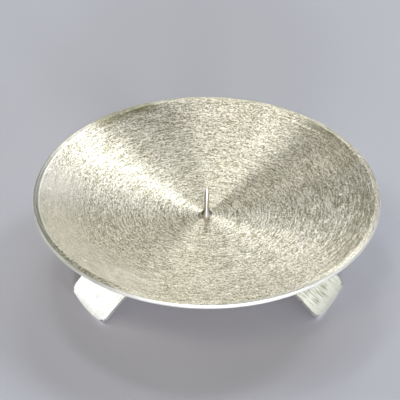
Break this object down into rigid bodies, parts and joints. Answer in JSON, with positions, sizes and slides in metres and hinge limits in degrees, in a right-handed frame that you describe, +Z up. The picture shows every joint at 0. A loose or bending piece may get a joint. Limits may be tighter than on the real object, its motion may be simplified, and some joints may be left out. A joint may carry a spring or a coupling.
{
  "type": "candle holder",
  "caption": "Low pricket candle plate: a shallow round bowl of brushed metal with a narrow lip, a central spike to hold a candle, and short bent strap feet.",
  "frame": {"origin": "on the table, under the centre of the dish", "axes": "+Z up along the spike; -Y towards the front, between the two front feet; +X to the right; the rear foot points along +Y"},
  "size_m": [0.14, 0.14, 0.0385],
  "materials": {
    "dish_metal": "spun and brushed in circles, warm silver, fine short scratches",
    "foot_metal": "brushed along the strap, bright silver",
    "spike_metal": "turned and polished",
    "fastener_metal": "zinc plated"
  },
  "bodies": {
    "root": {"dish": "dish_metal", "spike": "spike_metal", "foot_left": "foot_metal", "foot_right": "foot_metal", "foot_rear": "foot_metal", "washer": "fastener_metal", "spring_washer": "fastener_metal", "nut": "fastener_metal"}
  },
  "joints": []
}
